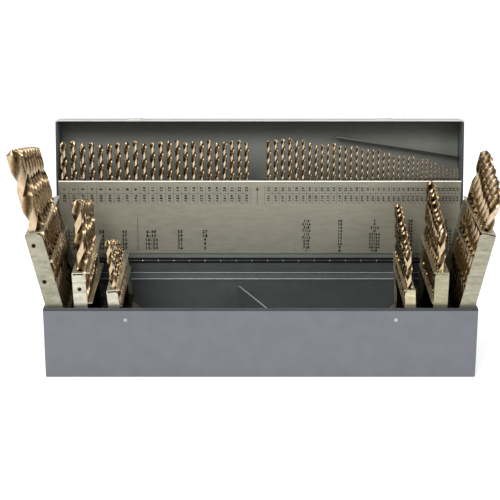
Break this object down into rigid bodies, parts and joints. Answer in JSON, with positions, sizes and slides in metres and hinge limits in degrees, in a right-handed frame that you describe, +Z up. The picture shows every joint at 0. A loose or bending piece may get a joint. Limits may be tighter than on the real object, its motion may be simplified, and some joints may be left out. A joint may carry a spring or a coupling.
{
  "type": "folding drill index case",
  "caption": "Sheet-steel drill index case with an open hinged lid, fold-down drill racks on both sides, a drilled number panel and straight-shank twist drills.",
  "frame": {"origin": "middle of the tray's flat underside, which rests on the bench", "axes": "+X to the right along the long side, +Y to the back where the hinges are, +Z up"},
  "size_m": [0.4299, 0.1781, 0.2037],
  "materials": {
    "painted_steel": "semi-gloss blue-grey paint",
    "galvanized_steel": "dull zinc-plated sheet",
    "pin_steel": "bright",
    "bronze_tool_steel": "bronze oxide, satin"
  },
  "bodies": {
    "case": {"tray_shell": "painted_steel", "center_divider": "painted_steel", "left_front_bracket": "galvanized_steel", "left_rear_bracket": "galvanized_steel", "right_front_bracket": "galvanized_steel", "right_rear_bracket": "galvanized_steel", "lid_hinge_tray_leaf": "painted_steel", "lid_hinge_pin": "pin_steel", "panel_hinge_tray_leaf": "galvanized_steel", "panel_hinge_pin": "pin_steel", "left_outer_pivot_pins": "pin_steel", "left_middle_pivot_pins": "pin_steel", "left_inner_pivot_pins": "pin_steel", "right_outer_pivot_pins": "pin_steel", "right_middle_pivot_pins": "pin_steel", "right_inner_pivot_pins": "pin_steel"},
    "lid": {"lid_shell": "painted_steel", "lid_stop_strip": "galvanized_steel", "lid_hinge_lid_leaf": "painted_steel"},
    "number_panel_body": {"number_panel": "galvanized_steel", "number_stop": "galvanized_steel", "panel_hinge_panel_leaf": "galvanized_steel", "number_drills_left": "bronze_tool_steel", "number_drills_right": "bronze_tool_steel"},
    "left_outer_rack": {"left_outer_channel": "galvanized_steel", "left_outer_guide": "galvanized_steel", "left_outer_stop": "galvanized_steel", "left_outer_drills": "bronze_tool_steel"},
    "left_middle_rack": {"left_middle_channel": "galvanized_steel", "left_middle_guide": "galvanized_steel", "left_middle_stop": "galvanized_steel", "left_middle_drills": "bronze_tool_steel"},
    "left_inner_rack": {"left_inner_channel": "galvanized_steel", "left_inner_guide": "galvanized_steel", "left_inner_stop": "galvanized_steel", "left_inner_drills": "bronze_tool_steel"},
    "right_outer_rack": {"right_outer_channel": "galvanized_steel", "right_outer_guide": "galvanized_steel", "right_outer_stop": "galvanized_steel", "right_outer_drills": "bronze_tool_steel"},
    "right_middle_rack": {"right_middle_channel": "galvanized_steel", "right_middle_guide": "galvanized_steel", "right_middle_stop": "galvanized_steel", "right_middle_drills": "bronze_tool_steel"},
    "right_inner_rack": {"right_inner_channel": "galvanized_steel", "right_inner_guide": "galvanized_steel", "right_inner_stop": "galvanized_steel", "right_inner_drills": "bronze_tool_steel"}
  },
  "joints": [
    {"name": "lid_hinge", "type": "hinge", "parent": "case", "child": "lid", "pos_m": [0, 0.06807, 0.0624], "axis": [1, 0, 0], "range_deg": [0, 12]},
    {"name": "number_panel_hinge", "type": "hinge", "parent": "case", "child": "number_panel_body", "pos_m": [0, 0.0644, 0.0649], "axis": [1, 0, 0], "range_deg": [0, 8]},
    {"name": "left_outer_fold", "type": "hinge", "parent": "case", "child": "left_outer_rack", "pos_m": [-0.17642, 0, 0.0515], "axis": [0, 1, 0], "range_deg": [0, 103.5]},
    {"name": "left_middle_fold", "type": "hinge", "parent": "case", "child": "left_middle_rack", "pos_m": [-0.15443, 0, 0.033], "axis": [0, 1, 0], "range_deg": [0, 92]},
    {"name": "left_inner_fold", "type": "hinge", "parent": "case", "child": "left_inner_rack", "pos_m": [-0.12297, 0, 0.0165], "axis": [0, 1, 0], "range_deg": [0, 95.5]},
    {"name": "right_outer_fold", "type": "hinge", "parent": "case", "child": "right_outer_rack", "pos_m": [0.17843, 0, 0.0515], "axis": [0, -1, 0], "range_deg": [0, 103]},
    {"name": "right_middle_fold", "type": "hinge", "parent": "case", "child": "right_middle_rack", "pos_m": [0.15662, 0, 0.033], "axis": [0, -1, 0], "range_deg": [0, 91]},
    {"name": "right_inner_fold", "type": "hinge", "parent": "case", "child": "right_inner_rack", "pos_m": [0.13335, 0, 0.0165], "axis": [0, -1, 0], "range_deg": [0, 87.5]}
  ],
  "couplings": [
    {"joint": "left_middle_fold", "follows": "left_outer_fold", "ratio": 0.88889},
    {"joint": "left_inner_fold", "follows": "left_outer_fold", "ratio": 0.92271},
    {"joint": "right_middle_fold", "follows": "right_outer_fold", "ratio": 0.8835},
    {"joint": "right_inner_fold", "follows": "right_outer_fold", "ratio": 0.84951}
  ]
}
